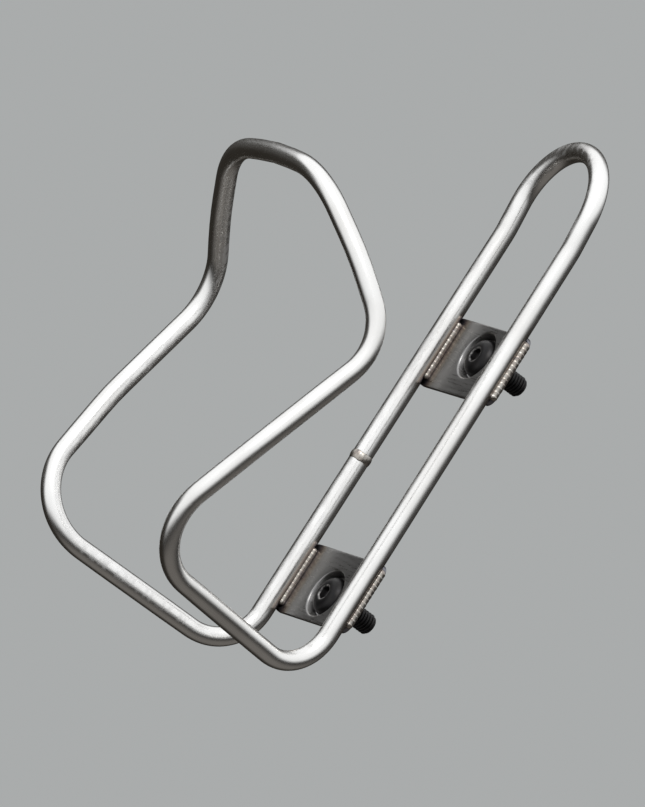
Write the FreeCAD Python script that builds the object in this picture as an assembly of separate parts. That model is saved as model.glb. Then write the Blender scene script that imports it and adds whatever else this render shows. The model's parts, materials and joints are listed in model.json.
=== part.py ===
import FreeCAD, Part
import math
import os
from FreeCAD import Vector

# Water bottle cage bent from one stainless tube, with two stamped tabs welded
# across the back of its rails and the two screws that hold it to a bicycle.
# Millimetres. Z runs up along the line of the two screws, Y points out of the
# mounting face towards the bicycle tube, and X = 0 is the mirror plane. The
# origin is on the mounting face, midway between the screws.

os.makedirs("parts", exist_ok=True)

# Tube
TUBE_R = 2.38
TUBE_WALL = 0.56
JOINT_GAP = 0.8
JOINT_CROWN = 0.2
JOINT_CROWN_HALF = 1.1

# Tabs
TAB_T = 1.2
TAB_H = 18.0
TAB_HALF_W = 17.0
TAB_CORNER_R = 2.5
TAB_INSET = 1.5
RECESS_DEPTH = 2.2
RECESS_FLOOR_R = 5.2
RECESS_MOUTH_R = 6.0
RECESS_EDGE_R = 0.5
HOLE_R = 2.65
SLOT_TRAVEL = 1.0

# Screws: M5 button head with a plain neck under the head
BOLT_SPACING = 64.0
BOLT_R = 2.5
BOLT_NECK_R = 2.25
BOLT_LENGTH = 12.0
BOLT_TIP_CHAMFER = 0.5
HEAD_R = 4.75
HEAD_H = 2.75
HEAD_RIM = 0.5
HEAD_TOP_R = 2.3
HEAD_SHOULDER_R = 3.95
HEAD_SHOULDER_H = 2.0
SOCKET_FLATS = 3.0
SOCKET_DEPTH = 1.6

# Weld beads along the tabs
OUTER_BEAD_R = 1.1
INNER_BEAD_R = 0.9
INNER_BEAD_IN = 1.7
INNER_BEAD_UP = 0.45
BEAD_END_GAP = 1.2

# Planes square to Y
MOUNT_Y = 0.0
RECESS_FLOOR_Y = MOUNT_Y - TAB_T
TAB_BACK_Y = MOUNT_Y - RECESS_DEPTH
TAB_FRONT_Y = TAB_BACK_Y - TAB_T
RAIL_Y = TAB_FRONT_Y - TUBE_R

# Bends of the tube's centreline on the +X side, from the U at the top of the
# rails down the rail, out along the base, up the arm and over to the arch:
# (half spacing x, forward of the rails, height z, bend radius)
U_TOP = (15.3, 2.0, 83.8, 15.3)
RAIL_LEAN = (15.3, 0.0, 61.2, 20.0)
RAIL_FOOT = (16.1, 0.0, -53.9, 12.0)
BASE_FRONT = (28.6, 60.5, -53.1, 15.0)
LOWER_ARM = (36.3, 51.45, -19.25, 70.0)
ARM_ELBOW = (40.6, 40.6, 14.4, 15.0)
UPPER_ARM = (33.2, 54.0, 27.55, 60.0)
ARCH_SHOULDER = (21.2, 67.6, 39.9, 19.4)
ARCH_APEX = (0.0, 68.4, 41.3, 100.0)
HALF_BENDS = (
    U_TOP,
    RAIL_LEAN,
    RAIL_FOOT,
    BASE_FRONT,
    LOWER_ARM,
    ARM_ELBOW,
    UPPER_ARM,
    ARCH_SHOULDER,
)

BACK = Vector(0, 1, 0)
SHORTEST_RUN = 1e-3
SAME_CIRCLE = 0.01


def bend_point(bend, side):
    """The corner of one bend on the given side (+1 or -1) and its radius."""
    x, forward, z, radius = bend
    return Vector(side * x, RAIL_Y - forward, z), radius


def closed_path():
    """Every corner of the closed centreline, starting at the right of the U."""
    right = [bend_point(b, 1) for b in HALF_BENDS]
    left = [bend_point(b, -1) for b in reversed(HALF_BENDS)]
    return right + [bend_point(ARCH_APEX, 1)] + left


def rounded_corner(before, corner, after, radius):
    """Start, end, centre, axis and turn (degrees) of the arc at one corner."""
    arriving = (corner - before).normalize()
    leaving = (after - corner).normalize()
    turn = arriving.getAngle(leaving)
    reach = radius * math.tan(turn / 2)
    start = corner - arriving * reach
    end = corner + leaving * reach
    axis = arriving.cross(leaving).normalize()
    centre = start + axis.cross(arriving) * radius
    return start, end, centre, axis, math.degrees(turn)


def rod(start, end, radius):
    """A round rod between two points."""
    run = end - start
    return Part.makeCylinder(radius, run.Length, start, run)


def elbow(arc, radius):
    """A round rod bent along one arc."""
    start, _, centre, axis, turn = arc
    tangent = axis.cross(start - centre)
    disc = Part.Face(Part.Wire(Part.makeCircle(radius, start, tangent)))
    return disc.revolve(centre, axis, turn)


def bent_rod(arcs, radius, joint_run, joint_centre, joint_direction):
    """The whole closed path as one rod, open at the butt joint."""
    pieces = []
    for i, arc in enumerate(arcs):
        pieces.append(elbow(arc, radius))
        start = arc[1]
        end = arcs[(i + 1) % len(arcs)][0]
        if i == joint_run:
            half_gap = joint_direction * (JOINT_GAP / 2)
            pieces.append(rod(start, joint_centre - half_gap, radius))
            pieces.append(rod(joint_centre + half_gap, end, radius))
        elif (end - start).Length > SHORTEST_RUN:
            pieces.append(rod(start, end, radius))
    return pieces[0].multiFuse(pieces[1:]).removeSplitter()


def cage_tube(arcs, joint):
    """The bent tube with its bore."""
    outside = bent_rod(arcs, TUBE_R, *joint)
    bore = bent_rod(arcs, TUBE_R - TUBE_WALL, *joint)
    return outside.cut(bore)


def joint_weld(centre, direction):
    """The butt weld: it fills the gap and stands a little proud all round."""
    across = direction.cross(BACK).normalize()

    def at(along, radius):
        return centre + direction * along + across * radius

    half = JOINT_GAP / 2
    corners = (
        at(-JOINT_CROWN_HALF, TUBE_R),
        at(-half, TUBE_R),
        at(-half, TUBE_R - TUBE_WALL),
        at(half, TUBE_R - TUBE_WALL),
        at(half, TUBE_R),
        at(JOINT_CROWN_HALF, TUBE_R),
    )
    edges = [Part.makeLine(a, b) for a, b in zip(corners, corners[1:])]
    crown = Part.Arc(corners[-1], at(0, TUBE_R + JOINT_CROWN), corners[0])
    edges.append(crown.toShape())
    return Part.Face(Part.Wire(edges)).revolve(centre, direction, 360)


def rounded_plate(centre_z):
    """The flat of a tab, with rounded corners."""
    plate = Part.makeBox(
        2 * TAB_HALF_W,
        TAB_T,
        TAB_H,
        Vector(-TAB_HALF_W, TAB_FRONT_Y, centre_z - TAB_H / 2),
    )
    across = [e for e in plate.Edges if abs(e.tangentAt(0).dot(BACK)) > 0.5]
    return plate.makeFillet(TAB_CORNER_R, across)


def circles_at(shape, y, radius):
    """The circular edges of this radius in the plane at y."""
    return [
        e
        for e in shape.Edges
        if isinstance(e.Curve, Part.Circle)
        and abs(e.Curve.Radius - radius) < SAME_CIRCLE
        and abs(e.Curve.Center.y - y) < SAME_CIRCLE
    ]


def slot_cutter(centre_z, travel):
    """A cutter for a round hole, or for a slot along Z when travel isn't zero."""
    depth = TAB_T * 3
    start_y = MOUNT_Y - TAB_T * 2
    ends = [Vector(0, start_y, centre_z + s * travel) for s in (-1, 1)]
    cutter = Part.makeCylinder(HOLE_R, depth, ends[0], BACK)
    if travel > 0:
        middle = Part.makeBox(
            2 * HOLE_R,
            depth,
            2 * travel,
            Vector(-HOLE_R, start_y, centre_z - travel),
        )
        far_end = Part.makeCylinder(HOLE_R, depth, ends[1], BACK)
        cutter = cutter.multiFuse([middle, far_end])
    return cutter


def tab(bolt_z, travel):
    """A stamped tab whose middle is pressed back to the mounting face."""
    plate = rounded_plate(bolt_z - math.copysign(TAB_INSET, bolt_z))
    slope = (RECESS_MOUTH_R - RECESS_FLOOR_R) / RECESS_DEPTH
    skin = TAB_T * math.hypot(1, slope)
    back_floor_r = RECESS_FLOOR_R - slope * TAB_T + skin
    back_mouth_r = back_floor_r + slope * RECESS_DEPTH
    boss = Part.makeCone(
        back_mouth_r,
        back_floor_r,
        RECESS_DEPTH,
        Vector(0, TAB_BACK_Y, bolt_z),
        BACK,
    )
    shape = plate.fuse(boss)
    edges = circles_at(shape, TAB_BACK_Y, back_mouth_r)
    edges += circles_at(shape, MOUNT_Y, back_floor_r)
    shape = shape.makeFillet(RECESS_EDGE_R, edges)
    recess = Part.makeCone(
        RECESS_MOUTH_R,
        RECESS_FLOOR_R,
        RECESS_DEPTH,
        Vector(0, TAB_FRONT_Y, bolt_z),
        BACK,
    )
    shape = shape.cut(recess)
    shape = shape.makeFillet(
        RECESS_EDGE_R, circles_at(shape, TAB_FRONT_Y, RECESS_MOUTH_R)
    )
    return shape.cut(slot_cutter(bolt_z, travel))


def button_screw(bolt_z):
    """A button head screw whose head sits on the floor of the recess."""

    def at(radius, along):
        return Vector(radius, RECESS_FLOOR_Y - along, bolt_z)

    top = HEAD_H
    neck = RECESS_FLOOR_Y - MOUNT_Y
    tip = -BOLT_LENGTH
    dome = Part.Arc(
        at(HEAD_R, HEAD_RIM),
        at(HEAD_SHOULDER_R, HEAD_SHOULDER_H),
        at(HEAD_TOP_R, top),
    )
    outline = (
        at(HEAD_TOP_R, top),
        at(0, top),
        at(0, tip),
        at(BOLT_R - BOLT_TIP_CHAMFER, tip),
        at(BOLT_R, tip + BOLT_TIP_CHAMFER),
        at(BOLT_R, neck),
        at(BOLT_NECK_R, neck),
        at(BOLT_NECK_R, 0),
        at(HEAD_R, 0),
        at(HEAD_R, HEAD_RIM),
    )
    edges = [Part.makeLine(a, b) for a, b in zip(outline, outline[1:])]
    edges.append(dome.toShape())
    axis_point = Vector(0, 0, bolt_z)
    screw = Part.Face(Part.Wire(edges)).revolve(axis_point, BACK, 360)
    corner_r = SOCKET_FLATS / 2 / math.cos(math.radians(30))
    corners = []
    for k in range(7):
        angle = math.radians(60 * k)
        corners.append(
            Vector(
                corner_r * math.cos(angle),
                RECESS_FLOOR_Y - HEAD_H,
                bolt_z + corner_r * math.sin(angle),
            )
        )
    socket = Part.Face(Part.makePolygon(corners)).extrude(BACK * SOCKET_DEPTH)
    return screw.cut(socket)


def capsule(x, y, low_z, high_z, radius):
    """An upright rod with round ends."""
    low = Vector(x, y, low_z)
    high = Vector(x, y, high_z)
    ends = [Part.makeSphere(radius, p) for p in (low, high)]
    return rod(low, high, radius).multiFuse(ends)


def rail_x(z):
    """Half spacing of the rails' centrelines at this height."""
    share = (z - RAIL_FOOT[2]) / (RAIL_LEAN[2] - RAIL_FOOT[2])
    return RAIL_FOOT[0] + share * (RAIL_LEAN[0] - RAIL_FOOT[0])


def beads(side, bolt_z, solid_tube, plate):
    """The outer and inner weld beads between one rail and one tab."""
    centre_z = bolt_z - math.copysign(TAB_INSET, bolt_z)
    half = TAB_H / 2 - BEAD_END_GAP
    low = centre_z - half + OUTER_BEAD_R
    high = centre_z + half - OUTER_BEAD_R
    inner_x = rail_x(centre_z) - INNER_BEAD_IN
    outer = capsule(side * TAB_HALF_W, TAB_FRONT_Y, low, high, OUTER_BEAD_R)
    inner = capsule(
        side * inner_x, TAB_FRONT_Y - INNER_BEAD_UP, low, high, INNER_BEAD_R
    )
    return [b.cut(solid_tube).cut(plate) for b in (outer, inner)]


def save(shape, name):
    """Write one node as a single solid, leaving out any slivers beside it."""
    solid = max(shape.Solids, key=lambda s: s.Volume)
    solid.exportStep(f"parts/{name}.step")


corners = closed_path()
arcs = []
for i, (point, radius) in enumerate(corners):
    previous_point = corners[i - 1][0]
    next_point = corners[(i + 1) % len(corners)][0]
    arcs.append(rounded_corner(previous_point, point, next_point, radius))

# The butt joint is on the left rail at the height of the origin: the run that
# leaves the left foot bend on its way up.
left_foot = bend_point(RAIL_FOOT, -1)[0]
left_lean = bend_point(RAIL_LEAN, -1)[0]
joint_run = [c[0] for c in corners].index(left_foot)
joint_direction = (left_lean - left_foot).normalize()
joint_centre = Vector(-rail_x(0), RAIL_Y, 0)
joint = (joint_run, joint_centre, joint_direction)

save(cage_tube(arcs, joint), "cage_tube")
save(joint_weld(joint_centre, joint_direction), "tube_joint_weld")

solid_tube = bent_rod(arcs, TUBE_R, *joint)
for level, bolt_z, travel in (
    ("upper", BOLT_SPACING / 2, 0.0),
    ("lower", -BOLT_SPACING / 2, SLOT_TRAVEL),
):
    plate = tab(bolt_z, travel)
    save(plate, f"{level}_tab")
    save(button_screw(bolt_z), f"{level}_bolt")
    for hand, side in (("left", -1), ("right", 1)):
        outer, inner = beads(side, bolt_z, solid_tube, plate)
        save(outer, f"weld_{level}_{hand}_outer")
        save(inner, f"weld_{level}_{hand}_inner")
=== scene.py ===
import json
import math

import bmesh
import bpy
from mathutils import Matrix, Vector, noise

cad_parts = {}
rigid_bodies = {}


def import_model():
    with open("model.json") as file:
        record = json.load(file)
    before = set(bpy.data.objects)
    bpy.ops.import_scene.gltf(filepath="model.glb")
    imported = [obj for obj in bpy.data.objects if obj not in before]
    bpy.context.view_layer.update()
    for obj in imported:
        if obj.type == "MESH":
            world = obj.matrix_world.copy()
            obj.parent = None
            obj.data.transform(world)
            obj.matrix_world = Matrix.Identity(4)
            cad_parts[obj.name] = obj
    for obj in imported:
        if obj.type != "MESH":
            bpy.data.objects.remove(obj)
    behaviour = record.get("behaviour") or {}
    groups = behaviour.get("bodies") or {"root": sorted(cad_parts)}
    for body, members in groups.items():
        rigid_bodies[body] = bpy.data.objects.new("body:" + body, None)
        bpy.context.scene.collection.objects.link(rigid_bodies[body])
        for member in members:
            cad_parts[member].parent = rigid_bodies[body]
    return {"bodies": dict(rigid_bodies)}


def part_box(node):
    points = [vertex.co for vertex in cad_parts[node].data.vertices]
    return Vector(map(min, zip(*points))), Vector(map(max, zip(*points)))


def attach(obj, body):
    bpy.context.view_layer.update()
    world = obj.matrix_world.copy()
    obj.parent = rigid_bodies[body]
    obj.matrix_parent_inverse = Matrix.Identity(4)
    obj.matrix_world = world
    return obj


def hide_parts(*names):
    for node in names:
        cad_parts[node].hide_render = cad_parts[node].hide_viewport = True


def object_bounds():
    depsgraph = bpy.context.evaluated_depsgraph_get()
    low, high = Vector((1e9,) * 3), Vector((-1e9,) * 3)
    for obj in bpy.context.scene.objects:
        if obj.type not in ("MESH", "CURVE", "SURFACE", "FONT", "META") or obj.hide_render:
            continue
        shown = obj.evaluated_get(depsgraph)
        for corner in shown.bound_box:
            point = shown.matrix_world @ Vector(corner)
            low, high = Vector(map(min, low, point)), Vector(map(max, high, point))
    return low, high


# Looks of the bottle cage: every CAD node is replaced by a finer mesh in the
# same place. Metres, in the row frame: Z along the rails, -Y towards the bottle.

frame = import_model()
cad_low, cad_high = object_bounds()
BODY = next(iter(frame["bodies"]))

MM = 0.001
TURN = 2 * math.pi

# Tube
TUBE_R = 2.38 * MM
TUBE_SIDES = 48
RAIL_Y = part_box("upper_tab")[0].y - TUBE_R
RUN_STEP = 2.5 * MM
ARC_STEP = math.radians(3.5)
SMOOTH_PASSES = 6
CLOSE = 0.01 * MM

# A bend takes the share FLATTENING off the section's height, and less where its
# radius is over FLATTENING_BEND. Under ROUND_BELOW the section counts as round.
FLATTENING = 0.04
FLATTENING_BEND = 15 * MM
ROUND_BELOW = 1e-6

# The tube's bends on the +X side, as in the CAD model: half spacing, distance
# forward of the rails, height, and bend radius.
HALF_BENDS = (
    (15.3, 2.0, 83.8, 15.3),
    (15.3, 0.0, 61.2, 20.0),
    (16.1, 0.0, -53.9, 12.0),
    (28.6, 60.5, -53.1, 15.0),
    (36.3, 51.45, -19.25, 70.0),
    (40.6, 40.6, 14.4, 15.0),
    (33.2, 54.0, 27.55, 60.0),
    (21.2, 67.6, 39.9, 19.4),
)
ARCH_APEX = (0.0, 68.4, 41.3, 100.0)
LEAN_BEND = 1
FOOT_BEND = 2

# Tabs
TAB_T = 1.2 * MM
TAB_ROUND = 0.22 * MM
TAB_CORNER_R = 2.5 * MM
TAB_CORNER_STEPS = 9
HOLE_R = 2.65 * MM
HOLE_ROUND = 0.12 * MM
SLOT_TRAVEL = 1.0 * MM
RECESS_FLOOR_R = 5.2 * MM
RECESS_MOUTH_R = 6.0 * MM
RECESS_ROUND = 0.5 * MM
RECESS_FLOOR_ROUND = 0.35 * MM
FLAT_SHARES = (0.2, 0.45, 0.7, 0.9)
REACH_LIMIT = 30 * MM
REACH_HALVINGS = 40
ANGLE_COUNT = 144
ARC_POINTS = 6
EDGE_POINTS = 3

# Screws
BOLT_R = 2.5 * MM
NECK_R = 2.25 * MM
TIP_R = 1.2 * MM
TIP_CHAMFER = 0.45 * MM
THREAD_PITCH = 0.8 * MM
THREAD_DEPTH = 0.46 * MM
THREAD_CREST = 0.12
THREAD_RUNOUT = 0.35
THREAD_RINGS_PER_PITCH = 12
SCREW_SIDES = 96
HEAD_R = 4.75 * MM
HEAD_TOP_R = 2.3 * MM
HEAD_RIM = 0.5 * MM
HEAD_ROUND = 0.14 * MM
NECK_ROUND = 0.15 * MM
DOME_POINTS = 13
HEX_FLATS = 3.0 * MM
HEX_CORNER = 1.13
HEX_DEPTH = 1.6 * MM
HEX_FLOOR_R = 1.15 * MM
HEX_CONE = 0.5 * MM
HEX_RIM_R = 2.0 * MM
HEX_RIM = 0.3 * MM

# Weld beads
OUTER_BEAD_R = 1.1 * MM
INNER_BEAD_R = 0.9 * MM
INNER_BEAD_IN = 1.7 * MM
INNER_BEAD_UP = 0.45 * MM
BEAD_SIDES = 48
BEAD_RINGS_PER_PITCH = 10
BEAD_PITCH = 1.15 * MM
BEAD_FULLNESS = 0.97
BEAD_RIPPLE = 0.07
BEAD_RIPPLE_POWER = 1.6
BEAD_RIPPLE_LEVEL = 0.6
BEAD_UNEVEN = 0.05
BEAD_UNEVEN_PER_MM = 0.6
BEAD_SEED_SIDE = 3.1
BEAD_SEED_PER_MM = 0.37
BEAD_CREST_TILT = -0.5
BEAD_LAG = 0.3 * MM
BEAD_SINK = 0.08 * MM
BEAD_FAR = 10 * MM

# Butt weld
JOINT_SIDES = 120
JOINT_POINTS = 11
JOINT_HALF = 1.1 * MM
JOINT_FLANK_HALF = JOINT_HALF * 0.9
JOINT_CROWN = 0.2 * MM
JOINT_INSIDE_R = TUBE_R - 0.3 * MM
JOINT_PUDDLES = 18
JOINT_RIPPLE = 0.03 * MM
JOINT_RIPPLE_POWER = 1.5
JOINT_LAG = 0.1 * MM
JOINT_WANDER = 0.12 * MM
JOINT_WANDER_SCALE = 2

# Finish
BOTTLE_FORWARD = 35.5 * MM
RUB_LINE_STRETCH = 3.0
GRAIN_STRETCH = 0.06
FINE_BUMP = 0.02 * MM
SOCKET_WEAR_R = 1.75 * MM
HEAT_TINT = (
    (0.0, (0.52, 0.50, 0.47, 1)),
    (0.35, (0.44, 0.40, 0.35, 1)),
    (0.65, (0.31, 0.26, 0.23, 1)),
    (0.85, (0.22, 0.19, 0.19, 1)),
    (1.0, (0.17, 0.17, 0.195, 1)),
)
WELD_COLOURS = (
    (0.25, (0.46, 0.45, 0.43, 1)),
    (0.45, (0.40, 0.37, 0.33, 1)),
    (0.58, (0.31, 0.27, 0.24, 1)),
    (0.72, (0.24, 0.235, 0.255, 1)),
    (0.85, (0.38, 0.375, 0.37, 1)),
)

# Camera and stage
CAMERA_AZIMUTH = 61.6
CAMERA_ELEVATION = -8.5
CAMERA_ROLL = 32.5
CAMERA_DISTANCE = 4.27
CAMERA_LENS = 850
CAMERA_AIM = Vector((0.0, -30.0, 2.0)) * MM
CAMERA_CLIP_END = 100
FLOOR_Z = -0.9
FLOOR_HALF = 14.0
KEY_PLACE = (1.1, -1.6, 1.5)
KEY_SIZE = (1.4, 1.0)
KEY_POWER = 25

# Surroundings that the metal reflects: a sky above the leaning bicycle, a dark
# ground that is paler close below, and a dim wall on the far side.
SKY_UP = Vector((0.0, -0.6, 0.8))
SKY_LOW = (1.05, 1.07, 1.09, 1)
SKY_HIGH = (1.25, 1.27, 1.3, 1)
GROUND_NEAR = (0.17, 0.16, 0.15, 1)
GROUND_FAR = (0.04, 0.038, 0.036, 1)
WALL_SIDE = Vector((-1.0, 0.0, 0.0))
WALL_LOW = (0.028, 0.025, 0.021, 1)
WALL_HIGH = (0.08, 0.078, 0.074, 1)
BACKDROP = (0.40, 0.412, 0.412, 1)


# ---------------------------------------------------------------- mesh helpers


def new_piece(name, verts, faces, material, uvs=None):
    """A smooth-shaded mesh object that rides on the cage's body."""
    mesh = bpy.data.meshes.new(name)
    mesh.from_pydata(verts, [], faces)
    if uvs:
        layer = mesh.uv_layers.new(name="UVMap")
        for loop, uv in zip(layer.data, uvs):
            loop.uv = uv
    mesh.validate()
    obj = bpy.data.objects.new(name, mesh)
    bpy.context.scene.collection.objects.link(obj)
    for polygon in mesh.polygons:
        polygon.use_smooth = True
    face_outwards(mesh)
    mesh.materials.append(material)
    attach(obj, BODY)
    return obj


def face_outwards(mesh):
    """Turn every face of a closed mesh outwards."""
    bm = bmesh.new()
    bm.from_mesh(mesh)
    bmesh.ops.recalc_face_normals(bm, faces=bm.faces)
    bm.to_mesh(mesh)
    bm.free()


def bridge(rings, closed):
    """Faces between rings of equal length; closed joins the last to the first."""
    count = len(rings[0])
    pairs = list(zip(rings, rings[1:]))
    if closed:
        pairs.append((rings[-1], rings[0]))
    faces = []
    for a, b in pairs:
        for k in range(count):
            after = (k + 1) % count
            faces.append((a[k], a[after], b[after], b[k]))
    return faces


def loft(point_rings, closed=False):
    """Vertices and faces of a loft; an open loft gets a fan at each end."""
    verts = []
    rings = []
    for ring in point_rings:
        rings.append(list(range(len(verts), len(verts) + len(ring))))
        verts.extend(ring)
    faces = bridge(rings, closed)
    if not closed:
        for ring in (rings[0], rings[-1]):
            hub = len(verts)
            verts.append(sum((verts[i] for i in ring), Vector()) / len(ring))
            for k, i in enumerate(ring):
                faces.append((i, ring[(k + 1) % len(ring)], hub))
    return verts, faces


def smoothstep(value, low, high):
    """0 below low and 1 above high, with an eased rise between them."""
    share = min(1.0, max(0.0, (value - low) / (high - low)))
    return share * share * (3 - 2 * share)


# -------------------------------------------------------------- the bent tube


def bend_corner(bend, side):
    """The corner of a bend on one side of the cage, and the bend's radius."""
    x, forward, z, radius = (v * MM for v in bend)
    return Vector((side * x, RAIL_Y - forward, z)), radius


def closed_path():
    """Every corner of the closed centreline, starting at the left foot."""
    right = [bend_corner(b, 1) for b in HALF_BENDS]
    left = [bend_corner(b, -1) for b in reversed(HALF_BENDS)]
    path = right + [bend_corner(ARCH_APEX, 1)] + left
    left_foot = len(path) - 1 - FOOT_BEND
    return path[left_foot:] + path[:left_foot]


def corner_arc(before, corner, after, radius):
    """The tangent arc at a corner: its start, end, centre, axis and angle."""
    arriving = (corner - before).normalized()
    leaving = (after - corner).normalized()
    turn = arriving.angle(leaving)
    reach = radius * math.tan(turn / 2)
    start = corner - arriving * reach
    axis = arriving.cross(leaving).normalized()
    centre = start + axis.cross(arriving) * radius
    return start, corner + leaving * reach, centre, axis, turn


def centreline():
    """Stations (point, inward bend normal, flattening) once round the loop.

    The loop starts and ends at the butt joint, half way up the left rail.
    """
    path = closed_path()
    arcs = []
    for i, (corner, radius) in enumerate(path):
        before = path[i - 1][0]
        after = path[(i + 1) % len(path)][0]
        arcs.append((radius,) + corner_arc(before, corner, after, radius))
    stations = []

    def add_run(start, end):
        if (end - start).length < CLOSE:
            return
        steps = max(1, round((end - start).length / RUN_STEP))
        for k in range(steps):
            stations.append((start.lerp(end, k / steps), None, 0.0))

    joint = arcs[0][2].lerp(arcs[1][1], -arcs[0][2].z / (arcs[1][1].z - arcs[0][2].z))
    add_run(joint, arcs[1][1])
    for i in range(1, len(arcs) + 1):
        radius, start, end, centre, axis, turn = arcs[i % len(arcs)]
        steps = max(2, round(turn / ARC_STEP))
        for k in range(steps):
            spun = Matrix.Rotation(turn * k / steps, 3, axis) @ (start - centre)
            flat = FLATTENING * min(1.0, FLATTENING_BEND / radius)
            stations.append((centre + spun, -spun.normalized(), flat))
        if i < len(arcs):
            add_run(end, arcs[(i + 1) % len(arcs)][1])
        else:
            add_run(end, joint)
    return stations


def smoothed(values, passes):
    """A closed list of vectors, each averaged with its neighbours."""
    count = len(values)
    for _ in range(passes):
        values = [
            (values[i - 1] + values[i] * 2 + values[(i + 1) % count]) / 4
            for i in range(count)
        ]
    return values


def tube_rings(stations):
    """Rings of a tube that is slightly flattened where it is bent."""
    count = len(stations)
    points = [s[0] for s in stations]
    pull = smoothed([(s[1] or Vector()) * s[2] for s in stations], SMOOTH_PASSES)
    tangents = [
        (points[(i + 1) % count] - points[i - 1]).normalized() for i in range(count)
    ]
    side = tangents[0].orthogonal().normalized()
    sides = []
    for i in range(count):
        side = (side - tangents[i] * side.dot(tangents[i])).normalized()
        sides.append(side)
    last = (sides[-1] - tangents[0] * sides[-1].dot(tangents[0])).normalized()
    twist = math.atan2(tangents[0].dot(last.cross(sides[0])), last.dot(sides[0]))
    rings = []
    for i in range(count):
        spin = Matrix.Rotation(twist * i / count, 3, tangents[i])
        across = spin @ sides[i]
        up = tangents[i].cross(across)
        flat = pull[i].length
        normal = pull[i].normalized() if flat > ROUND_BELOW else across
        ring = []
        for k in range(TUBE_SIDES):
            angle = TURN * k / TUBE_SIDES
            out = across * math.cos(angle) + up * math.sin(angle)
            share = out.dot(normal) ** 2
            ring.append(points[i] + out * TUBE_R * (1 - flat * share))
        rings.append(ring)
    return points, rings


def build_tube(material):
    points, rings = tube_rings(centreline())
    verts, faces = loft(rings, closed=True)
    lengths = [0.0]
    for i in range(len(points)):
        step = (points[(i + 1) % len(points)] - points[i]).length
        lengths.append(lengths[-1] + step)
    uvs = []
    for i in range(len(rings)):
        for k in range(TUBE_SIDES):
            low, high = k / TUBE_SIDES, (k + 1) / TUBE_SIDES
            here, there = lengths[i], lengths[i + 1]
            uvs += [(here, low), (here, high), (there, high), (there, low)]
    piece = new_piece("bent_tube", verts, faces, material, uvs)
    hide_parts("cage_tube")


# ------------------------------------------------------------------------ tabs


def rounded_box_distance(x, z, low, high):
    """Signed distance from a point to a rounded rectangle's outline."""
    middle_x, middle_z = (low[0] + high[0]) / 2, (low[1] + high[1]) / 2
    over_x = abs(x - middle_x) - (high[0] - low[0]) / 2 + TAB_CORNER_R
    over_z = abs(z - middle_z) - (high[1] - low[1]) / 2 + TAB_CORNER_R
    outside = math.hypot(max(over_x, 0), max(over_z, 0))
    return outside + min(max(over_x, over_z), 0) - TAB_CORNER_R


def slot_distance(x, z, travel):
    """Signed distance from a point to the edge of the hole or upright slot."""
    return math.hypot(x, z - min(travel, max(-travel, z))) - HOLE_R


def reach_at(angle, distance, level):
    """How far out along an angle the signed distance passes the given level."""
    near, far = 0.0, REACH_LIMIT
    for _ in range(REACH_HALVINGS):
        middle = (near + far) / 2
        if distance(middle * math.cos(angle), middle * math.sin(angle)) < level:
            near = middle
        else:
            far = middle
    return (near + far) / 2


def tab_angles(low, high):
    """Even angles about the screw, with extra ones round the four corners."""
    angles = [TURN * k / ANGLE_COUNT - math.pi for k in range(ANGLE_COUNT)]
    for side_x, x in ((-1, low[0]), (1, high[0])):
        for side_z, z in ((-1, low[1]), (1, high[1])):
            for k in range(1, TAB_CORNER_STEPS):
                turn = k / TAB_CORNER_STEPS * TURN / 4
                corner_x = x - side_x * TAB_CORNER_R * (1 - math.cos(turn))
                corner_z = z - side_z * TAB_CORNER_R * (1 - math.sin(turn))
                angles.append(math.atan2(corner_z, corner_x))
    return sorted(angles)


def rounded_profile(corners):
    """Points along a profile of (radius, y, rounding), with arcs at its corners."""
    points = []
    for i, (radius, y, rounding) in enumerate(corners):
        corner = Vector((radius, y))
        if rounding == 0:
            points.append(corner)
            continue
        before = (Vector(corners[i - 1][:2]) - corner).normalized()
        after = (Vector(corners[i + 1][:2]) - corner).normalized()
        half = before.angle(after) / 2
        centre = corner + (before + after).normalized() * (rounding / math.sin(half))
        start = corner + before * (rounding / math.tan(half)) - centre
        end = corner + after * (rounding / math.tan(half)) - centre
        turn = math.copysign(math.pi - 2 * half, start.x * end.y - start.y * end.x)
        for k in range(ARC_POINTS):
            spin = Matrix.Rotation(turn * k / (ARC_POINTS - 1), 2)
            points.append(centre + spin @ start)
    return points


def eased_edge(rounding):
    """(inset, depth) pairs over a quarter-round edge, from the face to the side."""
    pairs = []
    for k in range(EDGE_POINTS + 1):
        turn = k / EDGE_POINTS * TURN / 4
        inset = rounding * (1 - math.sin(turn))
        depth = rounding * (1 - math.cos(turn))
        pairs.append((inset, depth))
    return pairs


def recess_profiles(front, back, floor, rear):
    """Profiles of the recess: up its wall to the front, and its outside behind."""
    slope = (RECESS_MOUTH_R - RECESS_FLOOR_R) / (floor - front)
    rear_floor_r = RECESS_FLOOR_R + TAB_T * (math.hypot(1, slope) - slope)
    rear_mouth_r = rear_floor_r + slope * (rear - back)
    inside = rounded_profile(
        (
            (0, floor, 0),
            (RECESS_FLOOR_R, floor, RECESS_FLOOR_ROUND),
            (RECESS_MOUTH_R, front, RECESS_ROUND),
            (2 * RECESS_MOUTH_R, front, 0),
        )
    )
    outside = rounded_profile(
        (
            (2 * rear_mouth_r, back, 0),
            (rear_mouth_r, back, RECESS_ROUND),
            (rear_floor_r, rear, RECESS_ROUND),
            (0, rear, 0),
        )
    )
    return inside[1:-1], outside[1:-1]


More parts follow.
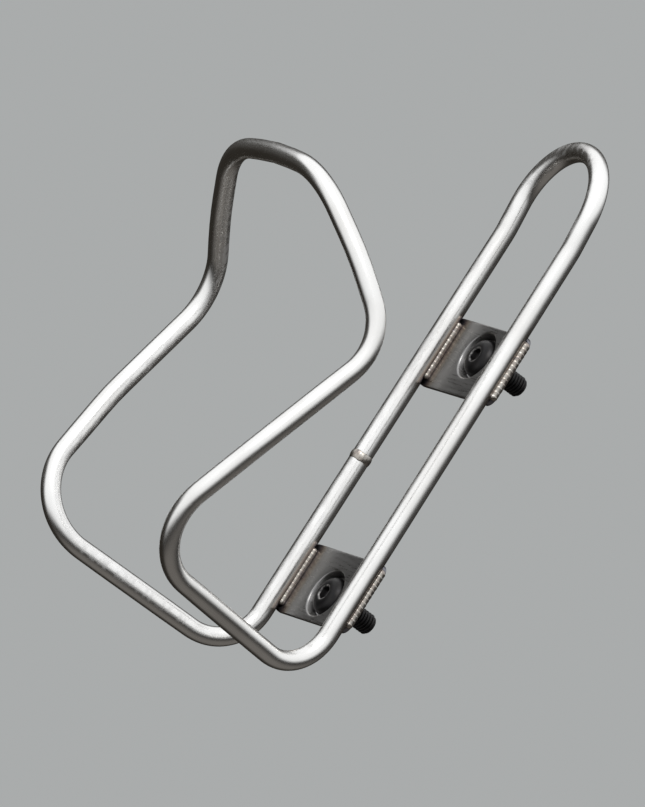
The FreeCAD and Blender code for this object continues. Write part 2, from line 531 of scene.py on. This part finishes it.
def build_tab(level, travel, bolt_z, material):
    """A stamped tab, lofted through rings about its screw.

    The rings go from the edge of the hole across the front, round the rim and
    back across the rear.
    """
    name = f"{level}_tab"
    low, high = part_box(name)
    front, back, rear = low.y, low.y + TAB_T, high.y
    floor = rear - TAB_T
    plate_low = (low.x, low.z - bolt_z)
    plate_high = (high.x, high.z - bolt_z)
    angles = tab_angles(plate_low, plate_high)

    def from_hole(x, z):
        return slot_distance(x, z, travel)

    def from_rim(x, z):
        return rounded_box_distance(x, z, plate_low, plate_high)

    def outline(distance, level):
        return [reach_at(angle, distance, level) for angle in angles]

    def circle(radius):
        return [radius] * len(angles)

    def flat(radius, y):
        face_edge = outline(from_rim, -TAB_ROUND)
        rows = []
        for share in FLAT_SHARES:
            rows.append((y, [radius + (e - radius) * share for e in face_edge]))
        return rows

    inside, outside = recess_profiles(front, back, floor, rear)
    hole_edge = eased_edge(HOLE_ROUND)
    rim_edge = eased_edge(TAB_ROUND)
    rows = [(floor + depth, outline(from_hole, inset)) for inset, depth in reversed(hole_edge)]
    rows += [(y, circle(radius)) for radius, y in inside]
    rows += flat(inside[-1].x, front)
    rows += [(front + depth, outline(from_rim, -inset)) for inset, depth in rim_edge]
    rows += [(back - depth, outline(from_rim, -inset)) for inset, depth in reversed(rim_edge)]
    rows += reversed(flat(outside[0].x, back))
    rows += [(y, circle(radius)) for radius, y in outside]
    rows += [(rear - depth, outline(from_hole, inset)) for inset, depth in hole_edge]
    rings = []
    for y, reaches in rows:
        ring = []
        for angle, reach in zip(angles, reaches):
            ring.append(Vector((reach * math.cos(angle), y, bolt_z + reach * math.sin(angle))))
        rings.append(ring)
    verts, faces = loft(rings, closed=True)
    piece = new_piece(f"stamped_{name}", verts, faces, material)
    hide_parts(name)


# ---------------------------------------------------------------------- screws


def hex_radius(angle, flats):
    """Distance from the centre to a hexagon's side, with eased corners."""
    local = (angle + math.pi / 6) % (math.pi / 3) - math.pi / 6
    return flats / 2 * min(1 / math.cos(local), HEX_CORNER)


def thread_radius(angle, along, start, end):
    """The screw's radius at a point: a 60 degree thread that fades at its ends."""
    turns = (along - start) / THREAD_PITCH - angle / TURN
    wave = abs((turns % 1.0) * 2 - 1)
    groove = 1 - smoothstep(wave, THREAD_CREST, 1 - THREAD_CREST)
    lead_in = smoothstep(along, start, start + THREAD_PITCH)
    lead_out = 1 - smoothstep(along, end - THREAD_PITCH, end)
    depth = THREAD_DEPTH * groove * lead_in * max(lead_out, THREAD_RUNOUT)
    full = BOLT_R - depth - (1 - lead_out) * TIP_CHAMFER
    return NECK_R + (full - NECK_R) * smoothstep(lead_in, 0.0, THREAD_RUNOUT)


def head_profile(seat, top):
    """(radius, y) pairs of the head, from its flat top over the dome to the neck."""
    points = []
    for k in range(DOME_POINTS):
        turn = k / (DOME_POINTS - 1) * TURN / 4
        radius = HEAD_TOP_R + (HEAD_R - HEAD_TOP_R) * math.sin(turn)
        points.append((radius, top + (seat - HEAD_RIM - top) * (1 - math.cos(turn))))
    underside = rounded_profile(
        (
            (HEAD_R, top, 0),
            (HEAD_R, seat, HEAD_ROUND),
            ((HEAD_R + NECK_R) / 2, seat, 0),
            (NECK_R, seat, NECK_ROUND),
            (NECK_R, seat + TAB_T, 0),
        )
    )
    return points + [tuple(point) for point in underside[1:-1]]


def socket_rings(top):
    """(y, radius) pairs from the bottom of the hexagon socket to its rim.

    They are the cone that the drill leaves, the hexagon's walls, and the eased
    rim that ends as a circle. A radius is a number or a function of the angle.
    """

    def hexagon(scale):
        return lambda angle: hex_radius(angle, HEX_FLATS * scale)

    def rim(share):
        return lambda angle: HEX_RIM_R * share + hex_radius(angle, HEX_FLATS) * (1 - share)

    floor = top + HEX_DEPTH
    return [
        (floor + HEX_CONE, HEX_FLOOR_R / 4),
        (floor + HEX_CONE / 9, HEX_FLOOR_R),
        (floor, hexagon(0.95)),
        (floor - HEX_CONE / 5, hexagon(1.0)),
        (top + HEX_RIM, hexagon(1.0)),
        (top + HEX_RIM * 2 / 3, rim(0.12)),
        (top + HEX_RIM / 3, rim(0.45)),
        (top, rim(1.0)),
    ]


def build_screw(level, bolt_z, material):
    """A button head screw, lofted from the bottom of its socket to its tip."""
    name = f"{level}_bolt"
    low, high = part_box(name)
    top, tip = low.y, high.y
    thread_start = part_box(f"{level}_tab")[1].y
    seat = thread_start - TAB_T
    rows = socket_rings(top)
    rows += [(y, radius) for radius, y in head_profile(seat, top)]
    steps = round((tip - thread_start) / THREAD_PITCH * THREAD_RINGS_PER_PITCH)
    for k in range(steps + 1):
        y = thread_start + (tip - thread_start) * k / steps
        rows.append((y, lambda angle, y=y: thread_radius(angle, y, thread_start, tip)))
    rows.append((tip, TIP_R))
    rings = []
    for y, radius in rows:
        ring = []
        for k in range(SCREW_SIDES):
            angle = TURN * k / SCREW_SIDES
            reach = radius(angle) if callable(radius) else radius
            ring.append(Vector((reach * math.cos(angle), y, bolt_z + reach * math.sin(angle))))
        rings.append(ring)
    verts, faces = loft(rings)
    piece = new_piece(f"button_screw_{level}", verts, faces, material)
    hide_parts(name)


# ----------------------------------------------------------------- weld beads


def rail_x(z):
    """Half spacing of the rails at a height."""
    foot, lean = HALF_BENDS[FOOT_BEND], HALF_BENDS[LEAN_BEND]
    share = (z / MM - foot[2]) / (lean[2] - foot[2])
    return (foot[0] + share * (lean[0] - foot[0])) * MM


def distance_to_metal(start, out, rail, corner):
    """How far a ray in the XY plane runs before it meets the rail or the tab.

    The tab fills the quarter behind and inboard of its front corner.
    """
    reaches = []
    along = (rail - start).dot(out)
    miss = (rail - start).length_squared - along * along
    if along > 0 and miss < TUBE_R * TUBE_R:
        reaches.append(along - math.sqrt(TUBE_R * TUBE_R - miss))
    if out.y > 0:
        reach = (corner.y - start.y) / out.y
        if abs(start.x + out.x * (reach + CLOSE)) < abs(corner.x):
            reaches.append(reach)
    return min(reaches, default=BEAD_FAR)


def build_bead(level, hand, place, material):
    """A weld bead in the corner of rail and tab, with the ripples of its puddles."""
    name = f"weld_{level}_{hand}_{place}"
    low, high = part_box(name)
    side = -1 if hand == "left" else 1
    middle_z = (low.z + high.z) / 2
    tab_low, tab_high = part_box(f"{level}_tab")
    corner = Vector((side * tab_high.x, tab_low.y, 0))
    rail = Vector((side * rail_x(middle_z), RAIL_Y, 0))
    if place == "outer":
        radius = OUTER_BEAD_R
        centre = corner
    else:
        radius = INNER_BEAD_R
        centre = Vector((rail.x - side * INNER_BEAD_IN, corner.y - INNER_BEAD_UP, 0))
    length = high.z - low.z
    steps = round(length / BEAD_PITCH * BEAD_RINGS_PER_PITCH)
    seed = Vector((side * BEAD_SEED_SIDE, radius / MM, middle_z / MM * BEAD_SEED_PER_MM))
    outs = []
    for j in range(BEAD_SIDES):
        angle = TURN * j / BEAD_SIDES
        outs.append(Vector((math.cos(angle), math.sin(angle), 0)))
    limits = [distance_to_metal(centre, out, rail, corner) + BEAD_SINK for out in outs]
    crest_side = -side if place == "inner" else side
    crest = Vector((crest_side, BEAD_CREST_TILT, 0)).normalized()
    rings = []
    for k in range(1, steps):
        along = k / steps * length
        end = min(along, length - along)
        cap = math.sqrt(1 - max(0.0, 1 - end / radius) ** 2)
        ring = []
        for out, limit in zip(outs, limits):
            lag = (1 - out.dot(crest)) * BEAD_LAG
            phase = ((along + lag) / BEAD_PITCH) % 1.0
            ripple = BEAD_RIPPLE * (phase**BEAD_RIPPLE_POWER - BEAD_RIPPLE_LEVEL)
            spot = seed + Vector((0, 0, along / MM * BEAD_UNEVEN_PER_MM))
            uneven = noise.noise(spot) * BEAD_UNEVEN
            reach = min(radius * cap * (BEAD_FULLNESS + ripple + uneven), limit)
            ring.append(centre + out * reach + Vector((0, 0, low.z + along)))
        rings.append(ring)
    verts, faces = loft(rings)
    piece = new_piece(f"bead_{level}_{hand}_{place}", verts, faces, material)
    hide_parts(name)


def build_joint_weld(material):
    """The butt weld round the left rail: a low rippled ring."""
    low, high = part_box("tube_joint_weld")
    centre = (low + high) / 2
    foot, lean = (bend_corner(HALF_BENDS[i], -1)[0] for i in (FOOT_BEND, LEAN_BEND))
    along = (lean - foot).normalized()
    across = along.orthogonal().normalized()
    up = along.cross(across)
    rings = []
    for k in range(JOINT_SIDES):
        angle = TURN * k / JOINT_SIDES
        out = across * math.cos(angle) + up * math.sin(angle)
        puddle = (k / JOINT_SIDES * JOINT_PUDDLES) % 1.0
        ripple = JOINT_RIPPLE * puddle**JOINT_RIPPLE_POWER
        spot = Vector((math.cos(angle), math.sin(angle), 0)) * JOINT_WANDER_SCALE
        wander = JOINT_WANDER * noise.noise(spot)
        section = [centre - along * JOINT_FLANK_HALF + out * JOINT_INSIDE_R]
        for j in range(JOINT_POINTS):
            share = j / (JOINT_POINTS - 1) * 2 - 1
            lift = JOINT_CROWN * (1 - share * share) + ripple * (1 - abs(share))
            lag = JOINT_LAG * puddle * (1 - share * share)
            shift = along * (share * JOINT_HALF + wander + lag)
            section.append(centre + shift + out * (TUBE_R - CLOSE + lift))
        section.append(centre + along * JOINT_FLANK_HALF + out * JOINT_INSIDE_R)
        rings.append(section)
    verts, faces = loft(rings, closed=True)
    piece = new_piece("joint_bead", verts, faces, material)
    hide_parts("tube_joint_weld")


# ------------------------------------------------------------------- materials


class Nodes:
    """Short calls for building the node tree of a material or of the world."""

    def __init__(self, owner):
        owner.use_nodes = True
        self.owner = owner
        self.tree = owner.node_tree

    def node(self, kind, **values):
        made = self.tree.nodes.new(kind)
        for key, value in values.items():
            setattr(made, key, value)
        return made

    def link(self, source, target):
        self.tree.links.new(source, target)

    def put(self, value, socket):
        """Link a socket or set a constant."""
        if isinstance(value, bpy.types.NodeSocket):
            self.link(value, socket)
        else:
            socket.default_value = value

    def position(self):
        return self.node("ShaderNodeTexCoord").outputs["Object"]

    def math(self, operation, a, b=0.0):
        made = self.node("ShaderNodeMath", operation=operation)
        for value, socket in zip((a, b), made.inputs):
            self.put(value, socket)
        return made.outputs[0]

    def times(self, a, b):
        return self.math("MULTIPLY", a, b)

    def plus(self, a, b):
        return self.math("ADD", a, b)

    def minus(self, a, b):
        return self.math("SUBTRACT", a, b)

    def hypot(self, a, b):
        squares = self.plus(self.math("POWER", a, 2.0), self.math("POWER", b, 2.0))
        return self.math("SQRT", squares)

    def split(self, vector):
        made = self.node("ShaderNodeSeparateXYZ")
        self.link(vector, made.inputs[0])
        return made.outputs

    def join(self, x, y, z):
        made = self.node("ShaderNodeCombineXYZ")
        for value, socket in zip((x, y, z), made.inputs):
            self.put(value, socket)
        return made.outputs[0]

    def noise(self, vector, scale, detail=4.0, roughness=0.55):
        made = self.node("ShaderNodeTexNoise")
        self.link(vector, made.inputs["Vector"])
        made.inputs["Scale"].default_value = scale
        made.inputs["Detail"].default_value = detail
        made.inputs["Roughness"].default_value = roughness
        return made.outputs["Fac"]

    def remap(self, value, low, high, to_low=0.0, to_high=1.0):
        made = self.node("ShaderNodeMapRange", interpolation_type="SMOOTHSTEP")
        for item, socket in zip((value, low, high, to_low, to_high), made.inputs):
            self.put(item, socket)
        return made.outputs[0]

    def mix(self, share, a, b):
        """A colour from a to b; sockets 6 and 7 are the Mix node's colours."""
        made = self.node("ShaderNodeMix", data_type="RGBA")
        self.put(share, made.inputs[0])
        self.put(a, made.inputs[6])
        self.put(b, made.inputs[7])
        return made.outputs[2]

    def ramp(self, value, stops):
        made = self.node("ShaderNodeValToRGB")
        elements = made.color_ramp.elements
        while len(elements) < len(stops):
            elements.new(0.5)
        for element, (place, colour) in zip(elements, stops):
            element.position = place
            element.color = colour
        self.put(value, made.inputs[0])
        return made.outputs[0]

    def bump(self, height, strength, distance=FINE_BUMP):
        made = self.node("ShaderNodeBump")
        made.inputs["Distance"].default_value = distance
        made.inputs["Strength"].default_value = strength
        self.link(height, made.inputs["Height"])
        return made.outputs[0]

    def finish(self, colour, roughness, normal=None, metallic=1.0):
        """Connect the shader and return the material."""
        shader = self.tree.nodes["Principled BSDF"]
        self.put(colour, shader.inputs["Base Color"])
        self.put(roughness, shader.inputs["Roughness"])
        shader.inputs["Metallic"].default_value = metallic
        if normal:
            self.link(normal, shader.inputs["Normal"])
        return self.owner


def material_nodes(name):
    """The node tree of a new material."""
    return Nodes(bpy.data.materials.new(name))


def near_tabs(n, z, reach):
    """1 beside either tab, fading to 0 at the given distance past its ends."""
    shares = []
    for level in ("upper", "lower"):
        low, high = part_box(f"{level}_tab")
        away = n.math("ABSOLUTE", n.minus(z, (low.z + high.z) / 2))
        half = (high.z - low.z) / 2
        shares.append(n.remap(away, half - 2 * MM, half + reach, 1.0, 0.0))
    return n.math("MAXIMUM", *shares)


def bottle_rub(n, spot):
    """Scuffs on the surfaces that face the bottle's axis."""
    x, y, z = n.split(spot)
    normal = n.split(n.node("ShaderNodeNewGeometry").outputs["Normal"])
    to_x = n.times(x, -1.0)
    to_y = n.minus(RAIL_Y - BOTTLE_FORWARD, y)
    inward = n.plus(n.times(normal[0], to_x), n.times(normal[1], to_y))
    facing = n.math("DIVIDE", inward, n.hypot(to_x, to_y))
    stretched = n.join(n.times(x, RUB_LINE_STRETCH), n.times(y, RUB_LINE_STRETCH), z)
    scuffs = n.noise(stretched, 260.0, 3.0, 0.6)
    return n.times(n.remap(facing, 0.55, 0.95), n.remap(scuffs, 0.42, 0.66))


def tube_material():
    """Bright drawn stainless: fine lines along the tube, bottle rub, weld tint."""
    n = material_nodes("bright_stainless_tube")
    spot = n.position()
    _, y, z = n.split(spot)
    u, v, _ = n.split(n.node("ShaderNodeUVMap", uv_map="UVMap").outputs[0])
    angle = n.times(v, TURN)
    wrap = n.join(n.times(u, 14.0), n.math("COSINE", angle), n.math("SINE", angle))
    lines = n.noise(wrap, 26.0, 6.0, 0.65)
    fine = n.noise(wrap, 90.0, 3.0, 0.7)
    cloud = n.noise(spot, 55.0, 3.0)
    speck = n.noise(spot, 900.0, 2.0)
    rub = bottle_rub(n, spot)

    rear_side = n.remap(y, RAIL_Y - 0.6 * MM, RAIL_Y + 2.2 * MM)
    heat = n.times(near_tabs(n, z, 5 * MM), rear_side)
    heat = n.times(heat, n.remap(cloud, 0.2, 0.8, 0.75, 1.05))
    bright, dull = (0.80, 0.79, 0.77, 1), (0.70, 0.685, 0.66, 1)
    clean = n.mix(n.remap(cloud, 0.3, 0.75), bright, dull)
    clean = n.mix(n.times(rub, 0.5), clean, (0.60, 0.59, 0.58, 1))
    tint = n.ramp(heat, HEAT_TINT)
    colour = n.mix(n.remap(heat, 0.05, 0.5, 0.0, 0.75), clean, tint)

    roughness = n.remap(lines, 0.25, 0.75, 0.18, 0.29)
    roughness = n.plus(roughness, n.times(rub, 0.2))
    roughness = n.plus(roughness, n.times(n.remap(speck, 0.6, 0.8), 0.08))
    height = n.plus(lines, n.times(fine, 0.5))
    height = n.plus(height, n.times(rub, 0.25))
    return n.finish(colour, roughness, n.bump(height, 0.35))


def plate_material():
    """Rolled stainless sheet: straight grain, heat tint at the welded ends, and a dark tone
    that is partly painted shade.
    """
    n = material_nodes("rolled_stainless_plate")
    spot = n.position()
    x, y, z = n.split(spot)
    grain = n.noise(n.join(n.times(x, GRAIN_STRETCH), y, z), 2600.0, 5.0, 0.7)
    cloud = n.noise(spot, 140.0, 4.0)
    end = n.remap(n.math("ABSOLUTE", x), 9.0 * MM, 14.5 * MM)
    heat = n.minus(n.plus(end, n.times(cloud, 0.25)), 0.12)
    # These base colours are darker than bare sheet: partly the sheet's dull tone, partly
    # painted shade standing in for the shade of the frame tube beside the tabs.
    bright, dull = (0.30, 0.296, 0.292, 1), (0.205, 0.199, 0.192, 1)
    clean = n.mix(cloud, bright, dull)
    tint = n.ramp(heat, HEAT_TINT)
    colour = n.mix(n.remap(heat, 0.05, 0.5, 0.0, 0.8), clean, tint)
    roughness = n.remap(grain, 0.25, 0.75, 0.24, 0.40)
    return n.finish(colour, roughness, n.bump(grain, 0.4))


def weld_material():
    """Weld metal: silver-straw puddles with blue and brown oxide between them."""
    n = material_nodes("weld_bead_metal")
    spot = n.position()
    cloud = n.noise(spot, 700.0, 5.0, 0.6)
    grit = n.noise(spot, 5200.0, 3.0)
    colour = n.ramp(cloud, WELD_COLOURS)
    roughness = n.remap(grit, 0.3, 0.7, 0.22, 0.42)
    return n.finish(colour, roughness, n.bump(grit, 0.5))


def socket_wear(n, spot):
    """1 on the rim of either screw's socket, fading to 0 around it."""
    x, y, z = n.split(spot)
    shares = []
    for level in ("upper", "lower"):
        low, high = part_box(f"{level}_bolt")
        reach = n.hypot(x, n.minus(z, (low.z + high.z) / 2))
        rim = n.math("ABSOLUTE", n.minus(reach, SOCKET_WEAR_R))
        shares.append(n.remap(rim, 0.05 * MM, 0.4 * MM, 1.0, 0.0))
    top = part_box("upper_bolt")[0].y
    at_top = n.remap(y, top + 0.1 * MM, top + 0.5 * MM, 1.0, 0.0)
    return n.times(n.math("MAXIMUM", *shares), at_top)


def screw_material():
    """Black oxide steel, worn to bare metal on the socket's rim."""
    n = material_nodes("black_oxide_steel")
    spot = n.position()
    cloud = n.noise(spot, 900.0, 4.0)
    grit = n.noise(spot, 6000.0, 2.0)
    worn = n.times(socket_wear(n, spot), n.remap(cloud, 0.35, 0.6))
    black = n.mix(cloud, (0.012, 0.012, 0.014, 1), (0.028, 0.026, 0.024, 1))
    colour = n.mix(worn, black, (0.30, 0.29, 0.28, 1))
    roughness = n.remap(grit, 0.3, 0.7, 0.30, 0.44)
    normal = n.bump(grit, 0.4, 0.015 * MM)
    return n.finish(colour, roughness, normal, metallic=0.85)


def floor_material():
    """Pale, matt and nearly even."""
    n = material_nodes("pale_floor")
    cloud = n.noise(n.position(), 1.2, 2.0)
    colour = n.mix(cloud, (0.335, 0.34, 0.34, 1), (0.355, 0.36, 0.36, 1))
    return n.finish(colour, 0.9, metallic=0.0)


# ------------------------------------------------------ stage, light and camera


def build_world():
    """A pale backdrop; reflections see the sky, the ground and the wall."""
    world = bpy.data.worlds.new("studio")
    bpy.context.scene.world = world
    n = Nodes(world)
    n.tree.nodes.clear()
    direction = n.node("ShaderNodeTexCoord").outputs["Generated"]

    def facing(axis, low, high):
        """0 to 1 as the direction turns towards an axis."""
        towards = n.node("ShaderNodeVectorMath", operation="DOT_PRODUCT")
        n.link(direction, towards.inputs[0])
        towards.inputs[1].default_value = axis
        return n.remap(towards.outputs["Value"], low, high)

    def background(colour):
        made = n.node("ShaderNodeBackground")
        n.put(colour, made.inputs[0])
        return made.outputs[0]

    ground = n.mix(facing(SKY_UP, -0.9, -0.4), GROUND_NEAR, GROUND_FAR)
    sky = n.mix(facing(SKY_UP, -0.1, 0.8), SKY_LOW, SKY_HIGH)
    open_side = n.mix(facing(SKY_UP, -0.4, 0.15), ground, sky)
    wall = n.mix(facing(SKY_UP, -0.2, 0.5), WALL_LOW, WALL_HIGH)
    wall = n.mix(facing(SKY_UP, 0.45, 0.7), wall, sky)
    whole = n.mix(facing(WALL_SIDE, 0.1, 0.6), open_side, wall)
    switch = n.node("ShaderNodeMixShader")
    n.link(n.node("ShaderNodeLightPath").outputs["Is Camera Ray"], switch.inputs[0])
    n.link(background(whole), switch.inputs[1])
    n.link(background(BACKDROP), switch.inputs[2])
    n.link(switch.outputs[0], n.node("ShaderNodeOutputWorld").inputs[0])


def build_floor():
    """A wide floor that the metal doesn't reflect, since its ground is the world's."""
    corners = []
    for x, y in ((-1, -1), (1, -1), (1, 1), (-1, 1)):
        corners.append((x * FLOOR_HALF, y * FLOOR_HALF, FLOOR_Z))
    mesh = bpy.data.meshes.new("floor")
    mesh.from_pydata(corners, [], [(0, 1, 2, 3)])
    floor = bpy.data.objects.new("floor", mesh)
    bpy.context.scene.collection.objects.link(floor)
    mesh.materials.append(floor_material())
    floor.visible_glossy = False


def build_key_light(aim):
    """One large soft light above the front."""
    data = bpy.data.lights.new("key", "AREA")
    data.shape = "RECTANGLE"
    data.size, data.size_y = KEY_SIZE
    data.energy = KEY_POWER
    lamp = bpy.data.objects.new("key", data)
    lamp.location = KEY_PLACE
    lamp.rotation_mode = "QUATERNION"
    lamp.rotation_quaternion = (aim - Vector(KEY_PLACE)).to_track_quat("-Z", "Y")
    lamp.visible_camera = False
    bpy.context.scene.collection.objects.link(lamp)


def build_camera(aim):
    """A long lens, rolled so that the cage leans as it does on a bicycle."""
    azimuth, elevation = math.radians(CAMERA_AZIMUTH), math.radians(CAMERA_ELEVATION)
    back = Vector(
        (
            math.sin(azimuth) * math.cos(elevation),
            -math.cos(azimuth) * math.cos(elevation),
            math.sin(elevation),
        )
    )
    data = bpy.data.cameras.new("camera")
    data.lens = CAMERA_LENS
    data.clip_end = CAMERA_CLIP_END
    camera = bpy.data.objects.new("camera", data)
    camera.location = aim + back * CAMERA_DISTANCE
    camera.rotation_mode = "QUATERNION"
    level = (-back).to_track_quat("-Z", "Y")
    roll = Matrix.Rotation(math.radians(CAMERA_ROLL), 3, back).to_quaternion()
    camera.rotation_quaternion = roll @ level
    bpy.context.scene.collection.objects.link(camera)
    bpy.context.scene.camera = camera


# ------------------------------------------------------------------------ build

build_tube(tube_material())
plate = plate_material()
weld = weld_material()
screw = screw_material()
for level, travel in (("upper", 0.0), ("lower", SLOT_TRAVEL)):
    low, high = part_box(f"{level}_bolt")
    bolt_z = (low.z + high.z) / 2
    build_tab(level, travel, bolt_z, plate)
    build_screw(level, bolt_z, screw)
    for hand in ("left", "right"):
        for place in ("outer", "inner"):
            build_bead(level, hand, place, weld)
build_joint_weld(weld)

middle = (cad_low + cad_high) / 2
build_world()
build_floor()
build_key_light(middle)
build_camera(CAMERA_AIM)
bpy.context.scene.view_settings.view_transform = "Standard"
